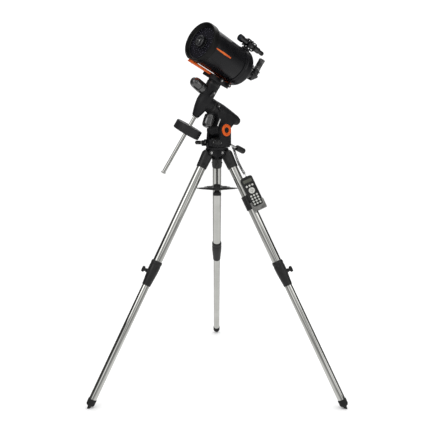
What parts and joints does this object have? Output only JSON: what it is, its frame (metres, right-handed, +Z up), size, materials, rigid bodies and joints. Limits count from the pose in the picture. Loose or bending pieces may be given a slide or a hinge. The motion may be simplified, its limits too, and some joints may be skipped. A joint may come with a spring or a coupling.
{
  "type": "telescope on equatorial mount and tripod",
  "caption": "Compact mirror-lens telescope with finder and eyepiece on a motor-driven German equatorial mount and height-adjustable steel tripod with hand control.",
  "frame": {"origin": "on the floor, at the centre of the rectangle round the three feet", "axes": "+Z up; -Y towards the side that shows two tripod legs and the hand control; the third leg points to +Y"},
  "size_m": [1.2392, 1.0796, 1.7984],
  "materials": {
    "cast_black": "fine textured black paint",
    "gloss_black": "gloss black paint",
    "moulded_black": "satin black moulded plastic",
    "moulded_gloss": "glossy black moulded plastic",
    "cord_rubber": "satin black cable jacket",
    "knob_rubber": "ribbed black rubber",
    "foot_rubber": "matt black rubber",
    "orange_anodised": "satin orange anodised",
    "polished_steel": "polished stainless steel",
    "weight_iron": "black painted cast iron",
    "brass_gear": "machined",
    "mirror_coat": "aluminised and polished",
    "corrector_glass": "coated optical glass",
    "keys_grey": "soft grey keys"
  },
  "bodies": {
    "tripod": {"tripod_head": "cast_black", "center_rod": "polished_steel"},
    "left_leg": {"left_leg_sleeve": "moulded_black", "left_upper_tube": "polished_steel", "left_leg_clamp": "moulded_black"},
    "left_lower_leg": {"left_lower_tube": "polished_steel", "left_foot": "foot_rubber"},
    "left_leg_lock": {"left_clamp_knob": "moulded_black"},
    "right_leg": {"right_leg_sleeve": "moulded_black", "right_upper_tube": "polished_steel", "right_leg_clamp": "moulded_black", "control_holder": "moulded_black", "hand_control_cord": "cord_rubber"},
    "right_lower_leg": {"right_lower_tube": "polished_steel", "right_foot": "foot_rubber"},
    "right_leg_lock": {"right_clamp_knob": "moulded_black"},
    "rear_leg": {"rear_leg_sleeve": "moulded_black", "rear_upper_tube": "polished_steel", "rear_leg_clamp": "moulded_black"},
    "rear_lower_leg": {"rear_lower_tube": "polished_steel", "rear_foot": "foot_rubber"},
    "rear_leg_lock": {"rear_clamp_knob": "moulded_black"},
    "brace": {"leg_brace": "cast_black"},
    "brace_lock": {"brace_knob": "moulded_black"},
    "hand_control": {"hand_control": "moulded_black"},
    "keypad": {"control_keypad": "keys_grey"},
    "mount_base": {"azimuth_base": "cast_black", "latitude_cap_near": "orange_anodised", "latitude_cap_far": "orange_anodised"},
    "azimuth_screw_near": {"azimuth_knob_near": "moulded_black"},
    "azimuth_screw_far": {"azimuth_knob_far": "moulded_black"},
    "latitude_screw": {"latitude_handle": "moulded_black"},
    "polar_head": {"ra_housing": "cast_black", "ra_motor_cover": "moulded_gloss", "polar_cap": "moulded_black"},
    "ra_clutch": {"ra_clutch_lever": "moulded_black"},
    "declination_head": {"dec_housing": "cast_black", "dec_motor_cover": "moulded_gloss", "ra_shaft": "polished_steel", "ra_worm_wheel": "brass_gear"},
    "dec_clutch": {"dec_clutch_lever": "moulded_black"},
    "declination_shaft": {"saddle": "cast_black", "counterweight_bar": "polished_steel"},
    "saddle_screw_front": {"saddle_knob_front": "moulded_black"},
    "saddle_screw_rear": {"saddle_knob_rear": "moulded_black"},
    "balance_weight": {"counterweight": "weight_iron"},
    "weight_screw": {"counterweight_knob": "moulded_black"},
    "optical_tube": {"dovetail_bar": "orange_anodised", "front_ring": "gloss_black", "main_tube": "gloss_black", "corrector_plate": "corrector_glass", "secondary_cell": "moulded_black", "rear_cell": "gloss_black", "visual_back": "gloss_black", "finder_bracket": "cast_black"},
    "focuser": {"focus_knob": "knob_rubber"},
    "mirror": {"primary_mirror": "mirror_coat"},
    "diagonal": {"star_diagonal": "gloss_black"},
    "eyepiece": {"eyepiece": "moulded_gloss"},
    "finder": {"finder_scope": "moulded_gloss"}
  },
  "joints": [
    {"name": "left_leg_fold", "type": "hinge", "parent": "tripod", "child": "left_leg", "pos_m": [-0.04503, -0.19878, 1.19585], "axis": [0.5, -0.866, 0], "range_deg": [0, 11]},
    {"name": "left_leg_length", "type": "slide", "parent": "left_leg", "child": "left_lower_leg", "axis": [0.4146, 0.2393, 0.878], "range_m": [0, 0.45]},
    {"name": "left_leg_lock_turn", "type": "hinge", "parent": "left_leg", "child": "left_leg_lock", "pos_m": [-0.31864, -0.35675, 0.61638], "axis": [-0.7604, -0.439, 0.4787], "range_deg": [0, 540]},
    {"name": "right_leg_fold", "type": "hinge", "parent": "tripod", "child": "right_leg", "pos_m": [0.04503, -0.19878, 1.19585], "axis": [0.5, 0.866, 0], "range_deg": [0, 11]},
    {"name": "right_leg_length", "type": "slide", "parent": "right_leg", "child": "right_lower_leg", "axis": [-0.4146, 0.2393, 0.878], "range_m": [0, 0.45]},
    {"name": "right_leg_lock_turn", "type": "hinge", "parent": "right_leg", "child": "right_leg_lock", "pos_m": [0.31864, -0.35675, 0.61638], "axis": [0.7604, -0.439, 0.4787], "range_deg": [0, 540]},
    {"name": "rear_leg_fold", "type": "hinge", "parent": "tripod", "child": "rear_leg", "pos_m": [0, -0.12078, 1.19585], "axis": [-1, 0, 0], "range_deg": [0, 11]},
    {"name": "rear_leg_length", "type": "slide", "parent": "rear_leg", "child": "rear_lower_leg", "axis": [0, -0.4787, 0.878], "range_m": [0, 0.45]},
    {"name": "rear_leg_lock_turn", "type": "hinge", "parent": "rear_leg", "child": "rear_leg_lock", "pos_m": [0, 0.19516, 0.61638], "axis": [0, 0.878, 0.4787], "range_deg": [0, 540]},
    {"name": "brace_turn", "type": "hinge", "parent": "tripod", "child": "brace", "pos_m": [0, -0.17278, 0], "axis": [0, 0, 1], "range_deg": [0, 44]},
    {"name": "brace_knob_turn", "type": "hinge", "parent": "tripod", "child": "brace_lock", "pos_m": [0, -0.17278, 0], "axis": [0, 0, 1], "range_deg": [0, 720]},
    {"name": "hand_control_lift", "type": "slide", "parent": "right_leg", "child": "hand_control", "axis": [-0.4146, 0.2393, 0.878], "range_m": [0, 0.06], "deforming": ["hand_control_cord"]},
    {"name": "keypad_press", "type": "slide", "parent": "hand_control", "child": "keypad", "axis": [0.0528, 0.9695, -0.2393], "range_m": [0, 0.001], "stiffness_N_per_m": 2000},
    {"name": "azimuth", "type": "hinge", "parent": "tripod", "child": "mount_base", "pos_m": [0, -0.17278, 1.222], "axis": [0, 0, 1], "range_deg": [-8, 8]},
    {"name": "azimuth_screw_near_turn", "type": "hinge", "parent": "mount_base", "child": "azimuth_screw_near", "pos_m": [-0.04679, -0.21346, 1.247], "axis": [0.6561, -0.7547, 0], "range_deg": [-360, 360]},
    {"name": "azimuth_screw_far_turn", "type": "hinge", "parent": "mount_base", "child": "azimuth_screw_far", "pos_m": [-0.04679, -0.21346, 1.247], "axis": [-0.6561, 0.7547, 0], "range_deg": [-360, 360]},
    {"name": "latitude_screw_turn", "type": "hinge", "parent": "mount_base", "child": "latitude_screw", "pos_m": [0.04528, -0.13342, 1.249], "axis": [0.7046, 0.6125, -0.3584], "range_deg": [-360, 360]},
    {"name": "latitude", "type": "hinge", "parent": "mount_base", "child": "polar_head", "pos_m": [0.00906, -0.16491, 1.308], "axis": [-0.6561, 0.7547, 0], "range_deg": [-11, 35]},
    {"name": "ra_clutch_turn", "type": "hinge", "parent": "polar_head", "child": "ra_clutch", "pos_m": [0.00434, -0.22068, 1.42392], "axis": [0.6561, -0.7547, 0], "range_deg": [0, 60]},
    {"name": "right_ascension", "type": "hinge", "parent": "polar_head", "child": "declination_head", "pos_m": [0.03434, -0.14293, 1.39261], "axis": [-0.7017, -0.61, 0.3681], "range_deg": [-78, 122]},
    {"name": "dec_clutch_turn", "type": "hinge", "parent": "declination_head", "child": "dec_clutch", "pos_m": [-0.0179, -0.26371, 1.48679], "axis": [0.5042, -0.7902, -0.3483], "range_deg": [0, 60]},
    {"name": "declination", "type": "hinge", "parent": "declination_head", "child": "declination_shaft", "pos_m": [-0.06741, -0.23138, 1.44599], "axis": [0.5034, -0.0588, 0.8621], "continuous": true},
    {"name": "saddle_screw_front_turn", "type": "hinge", "parent": "declination_shaft", "child": "saddle_screw_front", "pos_m": [-0.00933, -0.2472, 1.56296], "axis": [0.5635, -0.7341, -0.3791], "range_deg": [0, 720]},
    {"name": "saddle_screw_rear_turn", "type": "hinge", "parent": "declination_shaft", "child": "saddle_screw_rear", "pos_m": [0.02736, -0.20931, 1.54412], "axis": [0.5635, -0.7341, -0.3791], "range_deg": [0, 720]},
    {"name": "counterweight_slide", "type": "slide", "parent": "declination_shaft", "child": "balance_weight", "axis": [-0.5034, 0.0588, -0.8621], "range_m": [-0.016, 0.2]},
    {"name": "weight_screw_turn", "type": "hinge", "parent": "balance_weight", "child": "weight_screw", "pos_m": [-0.14593, -0.22221, 1.3115], "axis": [-0.5635, 0.7341, 0.3791], "range_deg": [0, 720]},
    {"name": "tube_balance", "type": "slide", "parent": "declination_shaft", "child": "optical_tube", "axis": [-0.6551, -0.6765, 0.3364], "range_m": [-0.04, 0.04]},
    {"name": "focus", "type": "hinge", "parent": "optical_tube", "child": "focuser", "pos_m": [0.08189, -0.26619, 1.66674], "axis": [-0.6551, -0.6765, 0.3364], "range_deg": [-2880, 2880]},
    {"name": "mirror_shift", "type": "slide", "parent": "optical_tube", "child": "mirror", "axis": [-0.6551, -0.6765, 0.3364], "range_m": [-0.006, 0.006]},
    {"name": "diagonal_turn", "type": "hinge", "parent": "optical_tube", "child": "diagonal", "pos_m": [0.17848, -0.11024, 1.5769], "axis": [-0.6551, -0.6765, 0.3364], "continuous": true},
    {"name": "eyepiece_lift", "type": "slide", "parent": "diagonal", "child": "eyepiece", "axis": [0.5034, -0.0588, 0.8621], "range_m": [0, 0.03]},
    {"name": "finder_tilt", "type": "hinge", "parent": "optical_tube", "child": "finder", "pos_m": [0.15014, -0.2101, 1.72815], "axis": [0.5635, -0.7341, -0.3791], "range_deg": [-1, 1]}
  ],
  "couplings": [
    {"joint": "right_leg_fold", "follows": "left_leg_fold", "ratio": 1},
    {"joint": "rear_leg_fold", "follows": "left_leg_fold", "ratio": 1},
    {"joint": "brace_turn", "follows": "left_leg_fold", "ratio": 4},
    {"joint": "focus", "follows": "mirror_shift", "rad_per_m": 8370}
  ]
}
